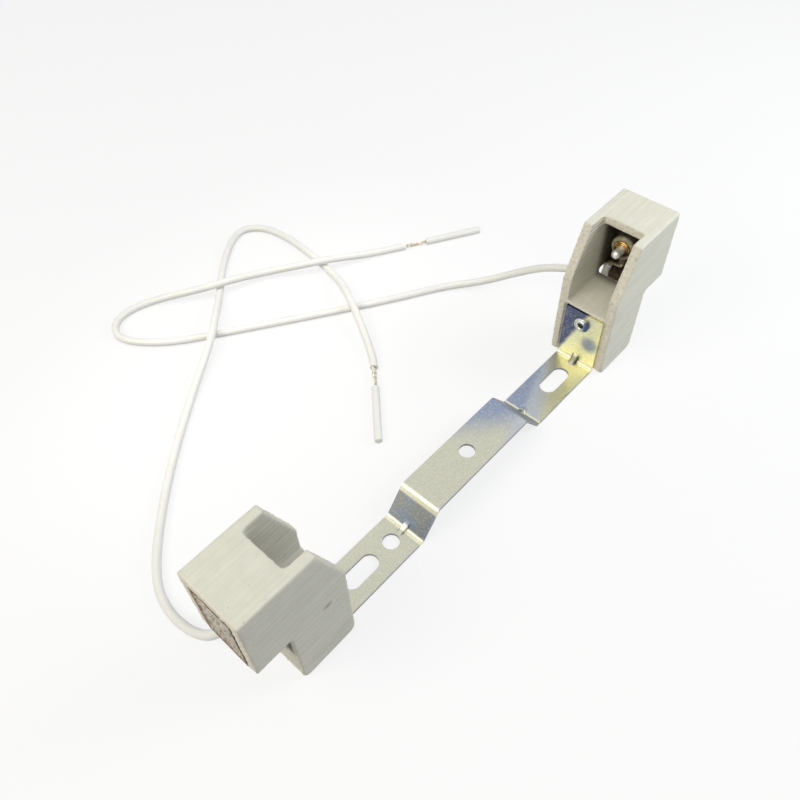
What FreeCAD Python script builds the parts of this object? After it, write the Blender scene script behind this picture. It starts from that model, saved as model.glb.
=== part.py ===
"""Lampholder pair for a double-ended linear halogen lamp, on one joggled steel strip.

Frame: X runs along the strip, Y across it, +Z up. The origin is the middle of the strip,
on the plane that its two low flats rest on. Every holder piece is drawn at +X, where the
holder faces the middle; the left one is the same piece turned half a turn about Z.
All sizes are millimetres.
"""
import FreeCAD, Part
import math
import os
import re
import Sketcher
from FreeCAD import Placement, Rotation, Vector

doc = FreeCAD.newDocument("linear_lampholder_pair")

# ---------------------------------------------------------------- driving dimensions
SIZES = {
    # steel strip
    "strip_width": 11.0,
    "strip_thick": 0.8,
    "bend_radius": 0.9,
    "tab_reach": 47.5,           # middle of the strip to the outer face of an end tab
    "tab_height": 18.0,
    "bridge_top": 16.9,          # middle to the bend at the top of each slope
    "bridge_foot": 22.4,         # middle to the bend at the foot of each slope
    "bridge_rise": 7.0,
    "slot_place": 37.1,
    "slot_length": 10.0,
    "slot_width": 4.5,
    "side_hole_place": 27.1,
    "side_hole": 4.1,
    "centre_hole": 4.0,
    "rib_leg": 2.3,
    "rib_width": 1.6,
    # ceramic holder; depths run outwards from its front plane
    "holder_width": 16.0,
    "holder_top": 40.0,
    "foot_gap": 0.2,             # resting plane to the holder's underside
    "holder_depth": 23.3,
    "foot_depth": 14.9,
    "step_height": 20.3,
    "slant_start": 25.9,
    "slant_depth": 5.5,
    "side_wall": 2.5,
    "roof_thick": 2.4,
    "roof_setback": 10.7,
    "roof_corner": 0.8,
    "floor_height": 19.1,
    "floor_thick": 1.3,
    "pocket_bottom": 10.5,
    "pocket_wall": 1.3,
    "web_thick": 6.0,
    "recess_depth": 0.8,
    "tab_play": 0.4,             # clearance above the tab in its recess
    "tab_side_play": 0.8,
    "foot_round": 1.6,
    "edge_round": 0.6,
    # rivet through the tab and the ceramic web
    "rivet_height": 14.5,
    "rivet_shank": 3.2,
    "rivet_play": 0.1,
    "rivet_head": 5.2,
    "rivet_head_thick": 1.2,
    "rivet_head_crown": 0.5,
    "rivet_roll": 4.2,
    "rivet_roll_thick": 1.2,
    "rivet_roll_flat": 0.4,
    "rivet_bore": 1.9,
    "rivet_bore_depth": 3.0,
    "washer_diameter": 6.0,
    "washer_thick": 0.7,
    "washer_play": 0.15,
    # sprung contact; depths run outwards from the holder's front plane
    "contact_height": 31.1,
    "tip_depth": 9.1,
    "tip_diameter": 2.3,
    "tip_show": 3.8,             # length of the tip in front of the guide
    "tip_round": 1.0,
    "slide_play": 0.05,
    "travel": 3.5,
    "guide_diameter": 6.4,
    "guide_length": 9.4,
    "guide_wall": 1.0,
    "guide_bore": 4.2,
    "guide_round": 0.5,
    "guide_play": 0.1,
    "collar_rim": 4.6,
    "collar_wall": 0.35,
    "collar_thick": 0.5,
    "stop_gap": 0.1,
    "hub_diameter": 3.9,
    "hub_length": 1.9,
    "tail_diameter": 1.5,
    "tail_length": 1.6,
    "lug_width": 1.6,
    "lug_thick": 0.8,
    "lug_inset": 0.3,            # rear face of the hub to the lug
    "lug_drop": 3.6,             # contact axis down to the end of the lug
    "lug_play": 0.3,
    "spring_diameter": 3.4,
    "spring_wire": 0.45,
    "spring_coils": 3.5,
    "spring_seat": 0.05,
    "crimp_diameter": 2.2,
    "crimp_length": 2.2,
    "pigtail_diameter": 1.1,
    "pigtail_straight": 1.3,     # straight start and end of a pigtail
    "cement_thick": 3.0,
    "bottom_rise": 1.0,          # side walls' lower edge up to the cement's top
    "bottom_drop": 0.3,          # channel floor down to the cement's underside
    "lead_exit_depth": 1.3,      # foot block to the axis of the lead in its gap
    "lead_exit_side": 4.2,       # holder's middle to the axis of the lead in its gap
    "lead_play": 0.15,
    # leads
    "lead_diameter": 2.2,
    "strand_diameter": 1.4,
    "bare_length": 6.9,
    "slug_length": 18.0,
    "slug_round": 0.5,
    "lead_rest": 0.05,           # resting plane to the underside of a lead
    "crossing_gap": 0.35,        # between two leads where one passes over the other
    # drawing
    "cutter_over": 2.0,          # how far a cut starts outside the solid
}

sheet = doc.addObject("Spreadsheet::Sheet", "Sizes")
for row, (alias, number) in enumerate(SIZES.items(), start=1):
    sheet.set("A%d" % row, alias.replace("_", " "))
    sheet.set("B%d" % row, str(number))
    sheet.setAlias("B%d" % row, alias)
doc.recompute()


def rule(words):
    """Expression on the sheet for words such as 'tab_reach - strip_thick'."""
    return re.sub(r"[a-z_]+", lambda found: "Sizes." + found.group()
                  if found.group() in SIZES else found.group(), str(words))


def value(words):
    """Number that such words come to at the sheet's present sizes."""
    return float(sheet.evalExpression(rule(words)))


# ---------------------------------------------------------------- drawing helpers
SIDES = {"right": 0.0, "left": 180.0}
sub_parts = []


def settle(piece, label, side=None, height="0"):
    """Name a sub-part, turn it to its side and lift its axis to its height."""
    piece.Label = label
    turn = SIDES[side] if side else 0.0
    piece.Placement = Placement(Vector(0, 0, value(height)), Rotation(Vector(0, 0, 1), turn))
    if height != "0":
        piece.setExpression("Placement.Base.z", rule(height))
    sub_parts.append(piece)
    return piece


def draw(body, name, role, outlines=(), circles=()):
    """Sketch on an origin plane; every corner and centre is bound to the sheet."""
    sketch = body.newObject("Sketcher::SketchObject", name)
    plane = [part for part in body.Origin.OriginFeatures if part.Role == role][0]
    sketch.AttachmentSupport = [(plane, "")]
    sketch.MapMode = "FlatFace"
    for corners in outlines:
        first = sketch.GeometryCount
        spots = [Vector(value(across), value(up), 0) for across, up in corners]
        for index, spot in enumerate(spots):
            following = spots[(index + 1) % len(spots)]
            sketch.addGeometry(Part.LineSegment(spot, following), False)
        for index, corner in enumerate(corners):
            line = first + index
            after = first + (index + 1) % len(corners)
            sketch.addConstraint(Sketcher.Constraint("Coincident", line, 2, after, 1))
            bind_point(sketch, line, 1, corner)
    for across, up, diameter in circles:
        centre = Vector(value(across), value(up), 0)
        radius = value(diameter) / 2
        ring = sketch.addGeometry(Part.Circle(centre, Vector(0, 0, 1), radius), False)
        bind_point(sketch, ring, 3, (across, up))
        size = sketch.addConstraint(Sketcher.Constraint("Diameter", ring, 2 * radius))
        sketch.setExpression("Constraints[%d]" % size, rule(diameter))
    return sketch


def bind_point(sketch, line, end, corner):
    """Tie one point of a sketch to the sheet along both of the sketch's axes."""
    for kind, words in zip(("DistanceX", "DistanceY"), corner):
        tie = Sketcher.Constraint(kind, -1, 1, line, end, value(words))
        place = sketch.addConstraint(tie)
        sketch.setExpression("Constraints[%d]" % place, rule(words))


def pad(body, sketch, width):
    """Add the sketch's area, half its width to each side of the sketch."""
    feature = body.newObject("PartDesign::Pad", sketch.Name + "_pad")
    feature.Profile = sketch
    feature.Midplane = True
    feature.setExpression("Length", rule(width))
    doc.recompute()
    return feature


def pocket(body, sketch, width):
    """Cut the sketch's area away, half its width to each side of the sketch."""
    before = body.Shape.Volume
    feature = body.newObject("PartDesign::Pocket", sketch.Name + "_pocket")
    feature.Profile = sketch
    feature.Midplane = True
    feature.setExpression("Length", rule(width))
    doc.recompute()
    if body.Shape.Volume >= before:
        raise ValueError(sketch.Name + " cuts nothing")
    return feature


def fillet(body, wanted, radius):
    """Round the edges of the body's tip that the test accepts."""
    base = body.Tip
    edges = base.Shape.Edges
    names = ["Edge%d" % (number + 1) for number, edge in enumerate(edges) if wanted(edge)]
    if not names:
        raise ValueError(body.Name + " has no edge to round")
    feature = body.newObject("PartDesign::Fillet", body.Name + "_fillet")
    feature.Base = (base, names)
    feature.setExpression("Radius", rule(radius))
    doc.recompute()
    return feature


def turned(label, corners, side, height):
    """Body of revolution about its own X axis; a corner is (place on X, radius)."""
    body = doc.addObject("PartDesign::Body", label)
    sketch = draw(body, label + "_half", "XZ_Plane", [corners])
    feature = body.newObject("PartDesign::Revolution", label + "_turn")
    feature.Profile = sketch
    feature.ReferenceAxis = (sketch, ["H_Axis"])
    feature.Angle = 360
    doc.recompute()
    return settle(body, label, side, height)


def along(edge, direction):
    """True for a straight edge that runs along the direction."""
    if edge.Curve.TypeId != "Part::GeomLine":
        return False
    return abs(abs(edge.tangentAt(edge.FirstParameter).dot(direction)) - 1) < 1e-6


def near(first, second):
    return abs(first - second) < 1e-3


X_AXIS = Vector(1, 0, 0)
Y_AXIS = Vector(0, 1, 0)
Z_AXIS = Vector(0, 0, 1)

# places on X that several pieces share
FRONT = "(tab_reach - recess_depth)"
TAB_FACE = "(tab_reach - strip_thick)"
WEB_BACK = "(tab_reach + web_thick)"
FOOT_BACK = "(%s + foot_depth)" % FRONT
BACK = "(%s + holder_depth)" % FRONT
TIP = "(%s + tip_depth)" % FRONT
GUIDE_FACE = "(%s + tip_show)" % TIP
GUIDE_END = "(%s + guide_length)" % GUIDE_FACE
SPRING_END = "(%s - guide_wall)" % GUIDE_END
HUB = "(%s + guide_wall + stop_gap)" % GUIDE_FACE
HUB_END = "(%s + hub_length)" % HUB
LUG = "(%s - lug_thick / 2 - lug_inset)" % HUB_END
CEMENT_FACE = "(%s - cement_thick)" % BACK
CHANNEL = "(holder_width - 2 * side_wall)"
ROOF_UNDER = "(holder_top - roof_thick)"


# ---------------------------------------------------------------- steel strip
def strip():
    """Joggled strip with two upturned tabs, slots, holes and pressed stiffening ribs."""
    body = doc.addObject("PartDesign::Body", "bracket")
    slope = "atan(bridge_rise / (bridge_foot - bridge_top))"
    shift = "strip_thick * tan(%s / 2)" % slope
    half = [
        ("bridge_top", "strip_thick + bridge_rise"),
        ("bridge_foot", "strip_thick"),
        (TAB_FACE, "strip_thick"),
        (TAB_FACE, "tab_height"),
        ("tab_reach", "tab_height"),
        ("tab_reach", "0"),
        ("bridge_foot - " + shift, "0"),
        ("bridge_top - " + shift, "bridge_rise"),
    ]
    mirrored = [("-(%s)" % across, up) for across, up in reversed(half)]
    pad(body, draw(body, "strip_edge", "XZ_Plane", [half + mirrored]), "strip_width")

    inside = [half[1], half[2], half[7]]
    outside = [half[0], half[5], half[6]]
    for bends, radius in ((inside, "bend_radius"), (outside, "bend_radius + strip_thick")):
        places = [(value(across), value(up)) for across, up in bends]
        fillet(body, lambda edge: along(edge, Y_AXIS) and any(
            near(abs(edge.CenterOfMass.x), across) and near(edge.CenterOfMass.z, up)
            for across, up in places), radius)

    ribs = []
    for sign in ("", "-"):
        tab = [(TAB_FACE, "strip_thick"), (TAB_FACE, "strip_thick + rib_leg"),
               (TAB_FACE + " - rib_leg", "strip_thick")]
        foot = [("bridge_foot", "strip_thick"), ("bridge_foot + rib_leg", "strip_thick"),
                ("bridge_foot - rib_leg * cos(%s)" % slope,
                 "strip_thick + rib_leg * sin(%s)" % slope)]
        ribs += [[(sign + "(%s)" % across, up) for across, up in rib] for rib in (tab, foot)]
    pad(body, draw(body, "ribs", "XZ_Plane", ribs), "rib_width")

    reach = "(slot_length - slot_width) / 2"
    middles = []
    ends = []
    for sign in ("", "-"):
        near_end = "%sslot_place - %s" % (sign, reach)
        far_end = "%sslot_place + %s" % (sign, reach)
        middles.append([(near_end, "-slot_width / 2"), (far_end, "-slot_width / 2"),
                        (far_end, "slot_width / 2"), (near_end, "slot_width / 2")])
        ends += [(near_end, "0", "slot_width"), (far_end, "0", "slot_width")]
    through = "2 * (bridge_rise + strip_thick) + cutter_over"
    pocket(body, draw(body, "slot_middles", "XY_Plane", middles), through)
    pocket(body, draw(body, "slot_ends", "XY_Plane", circles=ends), through)
    holes = [("0", "0", "centre_hole"), ("-side_hole_place", "0", "side_hole")]
    pocket(body, draw(body, "round_holes", "XY_Plane", circles=holes), through)
    rivets = [("0", "rivet_height", "rivet_shank + 2 * rivet_play")]
    across_strip = "2 * tab_reach + cutter_over"
    pocket(body, draw(body, "rivet_holes", "YZ_Plane", circles=rivets), across_strip)
    return settle(body, "bracket")


# ---------------------------------------------------------------- ceramic holder
def holder(side):
    """Steatite holder: lamp channel, roof, rear chamber, foot block with its recesses."""
    body = doc.addObject("PartDesign::Body", side + "_holder_ceramic")
    profile = [
        (FRONT, "foot_gap"),
        (FOOT_BACK, "foot_gap"),
        (FOOT_BACK, "step_height"),
        (BACK, "step_height"),
        (BACK, "holder_top"),
        (FRONT + " + slant_depth", "holder_top"),
        (FRONT, "slant_start"),
    ]
    pad(body, draw(body, side + "_profile", "XZ_Plane", [profile]), "holder_width")

    foot_ends = (value(FRONT), value(FOOT_BACK))
    fillet(body, lambda edge: along(edge, Y_AXIS)
           and near(edge.CenterOfMass.z, value("foot_gap"))
           and any(near(edge.CenterOfMass.x, end) for end in foot_ends), "foot_round")
    fillet(body, lambda edge: along(edge, X_AXIS)
           and edge.CenterOfMass.z > value("slant_start"), "edge_round")

    seat = [("0", "contact_height", "guide_diameter + 2 * guide_play")]
    pocket(body, draw(body, side + "_guide_seat", "YZ_Plane", circles=seat), "2 * " + BACK)
    channel = [
        (FRONT + " - cutter_over", "floor_height"),
        (FOOT_BACK, "floor_height"),
        (FOOT_BACK, "pocket_bottom"),
        (BACK + " + cutter_over", "pocket_bottom"),
        (BACK + " + cutter_over", ROOF_UNDER),
        (FRONT + " + roof_setback", ROOF_UNDER),
        (FRONT + " + roof_setback", "holder_top + cutter_over"),
        (FRONT + " - cutter_over", "holder_top + cutter_over"),
    ]
    pocket(body, draw(body, side + "_channel", "XZ_Plane", [channel]), CHANNEL)
    fillet(body, lambda edge: along(edge, Z_AXIS)
           and near(edge.CenterOfMass.x, value(FRONT + " + roof_setback"))
           and near(edge.CenterOfMass.z, value("holder_top - roof_thick / 2")), "roof_corner")

    washer_room = "washer_diameter / 2 + washer_play"
    for name, bottom, top, width in (
            ("_washer_seat", "rivet_height - (%s)" % washer_room,
             "rivet_height + " + washer_room, "2 * (%s)" % washer_room),
            ("_rivet_pocket", "pocket_bottom", "floor_height - floor_thick",
             "holder_width - 2 * pocket_wall")):
        room = [(WEB_BACK, bottom), (FOOT_BACK + " + cutter_over", bottom),
                (FOOT_BACK + " + cutter_over", top), (WEB_BACK, top)]
        pocket(body, draw(body, side + name, "XZ_Plane", [room]), width)
    tab_recess = [
        (FRONT + " - cutter_over", "foot_gap - cutter_over"),
        (FRONT + " + recess_depth", "foot_gap - cutter_over"),
        (FRONT + " + recess_depth", "tab_height + tab_play"),
        (FRONT + " - cutter_over", "tab_height + tab_play"),
    ]
    pocket(body, draw(body, side + "_tab_recess", "XZ_Plane", [tab_recess]),
           "strip_width + 2 * tab_side_play")
    rivet_hole = [("0", "rivet_height", "rivet_shank + 2 * rivet_play")]
    pocket(body, draw(body, side + "_rivet_hole", "YZ_Plane", circles=rivet_hole),
           "2 * " + BACK)
    return settle(body, side + "_holder_ceramic", side)


def back_cement(side):
    """Cement that closes the chamber's rear between walls and roof, round the guide."""
    block = doc.addObject("Part::Box", side + "_cement_block")
    block.setExpression("Length", rule("cement_thick"))
    block.setExpression("Width", rule(CHANNEL))
    block.setExpression("Height", rule(ROOF_UNDER + " - step_height"))
    block.setExpression("Placement.Base.x", rule(CEMENT_FACE))
    block.setExpression("Placement.Base.y", rule("-%s / 2" % CHANNEL))
    block.setExpression("Placement.Base.z", rule("step_height"))
    seat = doc.addObject("Part::Cylinder", side + "_guide_seat")
    seat.Placement = Placement(Vector(0, 0, 0), Rotation(Y_AXIS, 90))
    seat.setExpression("Radius", rule("guide_diameter / 2"))
    seat.setExpression("Height", rule("%s - %s + cutter_over" % (GUIDE_END, CEMENT_FACE)))
    seat.setExpression("Placement.Base.x", rule(CEMENT_FACE + " - cutter_over"))
    seat.setExpression("Placement.Base.z", rule("contact_height"))
    cement = doc.addObject("Part::Cut", side + "_back_cement")
    cement.Base = block
    cement.Tool = seat
    doc.recompute()
    return settle(cement, side + "_back_cement", side)


def bottom_cement(side):
    """Cement under the contact, from foot block to rear cement, with the lead's gap."""
    under = "(floor_height - bottom_drop)"
    thick = "(step_height + bottom_rise - %s)" % under
    block = doc.addObject("Part::Box", side + "_bottom_block")
    block.setExpression("Length", rule("%s - %s" % (CEMENT_FACE, FOOT_BACK)))
    block.setExpression("Width", rule(CHANNEL))
    block.setExpression("Height", rule(thick))
    block.setExpression("Placement.Base.x", rule(FOOT_BACK))
    block.setExpression("Placement.Base.y", rule("-%s / 2" % CHANNEL))
    block.setExpression("Placement.Base.z", rule(under))
    gap = doc.addObject("Part::Box", side + "_lead_gap")
    room = "(lead_diameter / 2 + lead_play)"
    past_wall = "(%s / 2 + cutter_over)" % CHANNEL
    gap.setExpression("Length", rule("lead_exit_depth + cutter_over + " + room))
    gap.setExpression("Width", rule("%s - lead_exit_side + %s" % (past_wall, room)))
    gap.setExpression("Height", rule(thick + " + 2 * cutter_over"))
    gap.setExpression("Placement.Base.x", rule(FOOT_BACK + " - cutter_over"))
    gap.setExpression("Placement.Base.y", rule(
        "lead_exit_side - " + room if side == "right" else "-" + past_wall))
    gap.setExpression("Placement.Base.z", rule(under + " - cutter_over"))
    cement = doc.addObject("Part::Cut", side + "_bottom_cement")
    cement.Base = block
    cement.Tool = gap
    doc.recompute()
    return settle(cement, side + "_bottom_cement", side)


# ---------------------------------------------------------------- rivet and washer
def rivet(side):
    """Half-hollow rivet: head in the foot's pocket, end rolled over on the steel tab."""
    head = "(%s + washer_thick)" % WEB_BACK
    roll = "(%s - rivet_roll_thick)" % TAB_FACE
    shank = "rivet_shank / 2"
    crest = "(rivet_roll + rivet_bore) / 4"
    return turned(side + "_rivet", [
        (roll + " + rivet_bore_depth", "0"),
        (head + " + rivet_head_thick", "0"),
        (head + " + rivet_head_thick", "rivet_head / 2 - rivet_head_crown"),
        (head + " + rivet_head_thick - rivet_head_crown", "rivet_head / 2"),
        (head, "rivet_head / 2"),
        (head, shank),
        (TAB_FACE, shank),
        (TAB_FACE, "rivet_roll / 2"),
        (roll + " + rivet_roll_thick / 2", "rivet_roll / 2"),
        (roll, crest + " + rivet_roll_flat / 2"),
        (roll, crest + " - rivet_roll_flat / 2"),
        (roll + " + rivet_roll_thick / 2", "rivet_bore / 2"),
        (roll + " + rivet_bore_depth", "rivet_bore / 2"),
    ], side, "rivet_height")


def washer(side):
    """Plain washer that spreads the rivet head's load on the ceramic."""
    hole = "rivet_shank / 2 + rivet_play"
    return turned(side + "_rivet_washer", [
        (WEB_BACK, hole),
        (WEB_BACK + " + washer_thick", hole),
        (WEB_BACK + " + washer_thick", "washer_diameter / 2"),
        (WEB_BACK, "washer_diameter / 2"),
    ], side, "rivet_height")


# ---------------------------------------------------------------- sprung contact
def guide(side):
    """Ceramic sleeve, cemented in at the rear, that holds the plunger and its spring."""
    neck = "tip_diameter / 2 + slide_play + collar_wall + slide_play"
    body = turned(side + "_contact_guide", [
        (GUIDE_FACE, neck),
        (GUIDE_FACE, "guide_diameter / 2"),
        (GUIDE_END, "guide_diameter / 2"),
        (GUIDE_END, "0"),
        (SPRING_END, "0"),
        (SPRING_END, "guide_bore / 2"),
        (GUIDE_FACE + " + guide_wall", "guide_bore / 2"),
        (GUIDE_FACE + " + guide_wall", neck),
    ], side, "contact_height")
    fillet(body, lambda edge: edge.Curve.TypeId == "Part::GeomCircle"
           and near(edge.Curve.Center.x, value(GUIDE_FACE))
           and near(edge.Curve.Radius, value("guide_diameter / 2")), "guide_round")
    lug_slot = [
        (LUG + " - lug_thick / 2 - lug_play", "-guide_diameter"),
        (LUG + " + lug_thick / 2 + travel + lug_play", "-guide_diameter"),
        (LUG + " + lug_thick / 2 + travel + lug_play", "-guide_bore / 4"),
        (LUG + " - lug_thick / 2 - lug_play", "-guide_bore / 4"),
    ]
    pocket(body, draw(body, side + "_lug_slot", "XZ_Plane", [lug_slot]),
           "lug_width + 2 * lug_play")
    return body


def collar(side):
    """Bronze eyelet in the guide's front wall, the plunger's bearing and front stop."""
    bore = "tip_diameter / 2 + slide_play"
    return turned(side + "_contact_collar", [
        (GUIDE_FACE + " - collar_thick", bore),
        (GUIDE_FACE + " - collar_thick", "collar_rim / 2"),
        (GUIDE_FACE, "collar_rim / 2"),
        (GUIDE_FACE, bore + " + collar_wall"),
        (GUIDE_FACE + " + guide_wall", bore + " + collar_wall"),
        (GUIDE_FACE + " + guide_wall", bore),
    ], side, "contact_height")


def plunger(side):
    """Contact: round-nosed tip, hub that rides in the guide, spring tail and wire lug."""
    body = turned(side + "_contact_plunger", [
        (TIP, "0"),
        (TIP, "tip_diameter / 2"),
        (HUB, "tip_diameter / 2"),
        (HUB, "hub_diameter / 2"),
        (HUB_END, "hub_diameter / 2"),
        (HUB_END, "tail_diameter / 2"),
        (HUB_END + " + tail_length", "tail_diameter / 2"),
        (HUB_END + " + tail_length", "0"),
    ], side, "contact_height")
    fillet(body, lambda edge: edge.Curve.TypeId == "Part::GeomCircle"
           and near(edge.Curve.Center.x, value(TIP)), "tip_round")
    lug = [
        (LUG + " - lug_thick / 2", "-lug_drop"),
        (LUG + " + lug_thick / 2", "-lug_drop"),
        (LUG + " + lug_thick / 2", "-hub_diameter / 4"),
        (LUG + " - lug_thick / 2", "-hub_diameter / 4"),
    ]
    pad(body, draw(body, side + "_lug", "XZ_Plane", [lug]), "lug_width")
    return body


def crimp(side):
    """Ferrule pressed on the strands, welded to the end of the plunger's lug."""
    barrel = doc.addObject("Part::Cylinder", side + "_contact_crimp")
    settle(barrel, side + "_contact_crimp")
    sign = 1 if side == "right" else -1
    barrel.setExpression("Radius", rule("crimp_diameter / 2"))
    barrel.setExpression("Height", rule("crimp_length"))
    barrel.setExpression("Placement.Base.x", rule("%d * %s" % (sign, LUG)))
    barrel.setExpression("Placement.Base.z", rule("contact_height - lug_drop - crimp_length"))
    return barrel


def spring(side):
    """Compression spring between the plunger's hub and the guide's closed end."""
    wire = value("spring_wire")
    radius = (value("spring_diameter") - wire) / 2
    start = value(HUB_END + " + spring_wire / 2 + spring_seat")
    length = value(SPRING_END) - start - wire / 2 - value("spring_seat")
    steps = round(value("spring_coils") * TURN_STEPS)
    points = []
    for step in range(steps + 1):
        angle = 2 * math.pi * step / TURN_STEPS
        points.append(Vector(start + length * step / steps,
                             radius * math.cos(angle), radius * math.sin(angle)))
    return tube(side + "_contact_spring", points, wire, side, "contact_height")


# ---------------------------------------------------------------- leads
ARC_SHARE = 0.45   # share of the shorter run that the arc at a corner takes up
TURN_STEPS = 8     # corners in one turn of a spring's path


def route_wire(points):
    """Straight runs joined by tangent arcs, each as large as its two runs allow."""
    edges = []
    radii = []
    reached = points[0]
    for before, corner, after in zip(points, points[1:], points[2:]):
        back = before - corner
        ahead = after - corner
        turn = math.pi - back.getAngle(ahead)
        setback = ARC_SHARE * min(back.Length, ahead.Length)
        radii.append(setback / math.tan(turn / 2))
        entry = corner + back.normalize() * setback
        leave = corner + ahead.normalize() * setback
        inward = (back + ahead).normalize()
        centre_distance = math.hypot(setback, radii[-1])
        middle = corner + inward * (centre_distance - radii[-1])
        edges.append(Part.LineSegment(reached, entry).toShape())
        edges.append(Part.Arc(entry, middle, leave).toShape())
        reached = leave
    edges.append(Part.LineSegment(reached, points[-1]).toShape())
    return Part.Wire(edges), radii


def tube(label, points, diameter, side=None, height="0"):
    """Closed round tube along a route; its volume is compared with section times length."""
    path, radii = route_wire(points)
    heading = (points[1] - points[0]).normalize()
    section = Part.Wire(Part.makeCircle(diameter / 2, points[0], heading))
    solid = path.makePipeShell([section], True, True)
    expected = math.pi * diameter ** 2 / 4 * path.Length
    if abs(solid.Volume / expected - 1) > 0.01:
        raise ValueError(label + " has the wrong volume")
    print("%s: length %.1f mm, smallest radius %.1f mm, radii %s"
          % (label, path.Length, min(radii), [round(radius, 1) for radius in radii]))
    piece = doc.addObject("Part::Feature", label)
    piece.Shape = solid
    return settle(piece, label, side, height)


LOW = value("lead_rest + lead_diameter / 2")
HIGH = value("lead_rest + 1.5 * lead_diameter + crossing_gap")
SAG = LOW + value("lead_diameter") / 4

# Each lead hangs out of its chamber, comes down behind the foot and lies in an open loop.
ROUTES = {
    "right": [
        (62.9, 4.2, 21.4), (62.9, 4.2, 16.8), (63.3, 7.7, 13.6), (63.4, 13.6, 14.4),
        (61.0, 22.2, 11.6), (58.8, 30.0, 6.3), (53.7, 37.5, 2.2), (45.7, 45.4, LOW),
        (32.2, 53.1, LOW), (12.4, 65.8, LOW), (-8.5, 79.9, LOW), (-20.6, 88.0, LOW),
        (-27.4, 95.0, LOW), (-31.2, 101.9, LOW), (-29.3, 107.2, LOW), (-24.1, 109.6, LOW),
        (-15.2, 107.6, LOW), (-4.4, 97.9, HIGH), (5.2, 93.5, HIGH), (14.8, 90.6, SAG),
        (23.5, 82.2, HIGH), (31.8, 76.9, HIGH), (41.8, 72.5, LOW), (51.6, 66.7, LOW),
    ],
    "left": [
        (-62.9, 4.2, 21.4), (-62.9, 4.2, 16.8), (-66.0, 6.0, 13.7), (-69.2, 8.6, 10.1),
        (-70.6, 12.2, 6.4), (-71.5, 17.7, 2.4), (-71.7, 24.6, LOW), (-69.4, 32.3, LOW),
        (-61.4, 42.3, LOW), (-46.2, 56.8, LOW), (-27.2, 71.8, LOW), (-15.6, 78.8, HIGH),
        (-8.7, 85.3, HIGH), (-1.6, 93.1, LOW), (7.3, 102.6, LOW), (16.4, 109.9, LOW),
        (23.2, 112.7, LOW), (28.4, 108.9, LOW), (30.4, 100.8, LOW), (30.2, 90.3, LOW),
        (27.9, 73.7, LOW), (23.1, 63.8, HIGH), (19.3, 56.4, HIGH), (11.3, 42.0, LOW),
        (8.6, 39.2, LOW),
    ],
}


def lead(side):
    """Insulated lead from inside the chamber to the end of its insulation."""
    points = [Vector(*spot) for spot in ROUTES[side]]
    return tube(side + "_lead", points, value("lead_diameter"))


def pigtail(side):
    """Bare strands from the crimp to the start of the insulation, slack enough to move."""
    start = Vector(*ROUTES[side][0])
    heading = start - Vector(*ROUTES[side][1])
    crimp_end = value("contact_height - lug_drop - crimp_length")
    below = Vector(math.copysign(value(LUG), start.x), 0, crimp_end)
    straight = value("pigtail_straight")
    points = [below, below - Vector(0, 0, straight),
              start + heading.normalize() * straight, start]
    return tube(side + "_pigtail", points, value("pigtail_diameter"))


def lead_end(side):
    """Bare strands and the cut length of insulation left on their tip."""
    last = Vector(*ROUTES[side][-1])
    heading = (last - Vector(*ROUTES[side][-2])).normalize()
    lie = Rotation(Z_AXIS, heading)
    strands = doc.addObject("Part::Cylinder", side + "_lead_strands")
    strands.setExpression("Radius", rule("strand_diameter / 2"))
    strands.setExpression("Height", rule("bare_length"))
    settle(strands, side + "_lead_strands")
    strands.Placement = Placement(last, lie)
    slug = doc.addObject("Part::Cylinder", side + "_slug_blank")
    slug.setExpression("Radius", rule("lead_diameter / 2"))
    slug.setExpression("Height", rule("slug_length"))
    slug.Placement = Placement(last + heading * value("bare_length"), lie)
    doc.recompute()
    tip = doc.addObject("Part::Fillet", side + "_tip_slug")
    tip.Base = slug
    rims = [number + 1 for number, edge in enumerate(slug.Shape.Edges)
            if edge.Curve.TypeId == "Part::GeomCircle"]
    tip.Edges = [(number, value("slug_round"), value("slug_round")) for number in rims]
    return settle(tip, side + "_tip_slug")


# ---------------------------------------------------------------- build and export
strip()
for hand in SIDES:
    for make in (holder, back_cement, bottom_cement, rivet, washer, guide, collar, plunger, spring,
                 crimp, pigtail, lead, lead_end):
        make(hand)
doc.recompute()

for item in doc.Objects:
    if "Invalid" in item.State or "Error" in item.State:
        raise ValueError(item.Label + " failed to compute")
for piece in sub_parts:
    if piece.Shape.isNull() or not piece.Shape.isValid():
        raise ValueError(piece.Label + " has no valid shape")

os.makedirs("parts", exist_ok=True)
for piece in sub_parts:
    piece.Shape.exportStep("parts/" + piece.Label + ".step")
    print("%-24s volume %9.2f mm3, solids %d"
          % (piece.Label, piece.Shape.Volume, len(piece.Shape.Solids)))
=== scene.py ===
"""Lampholder pair for a double-ended linear halogen lamp: looks for every piece of it.

X runs along the steel strip, Y across it, +Z up, in metres. Each section holds one piece or
one group of like pieces, in the order in which the pair is put together.
"""
import math

import bmesh
import bpy
from mathutils import Matrix, Vector, noise


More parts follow.
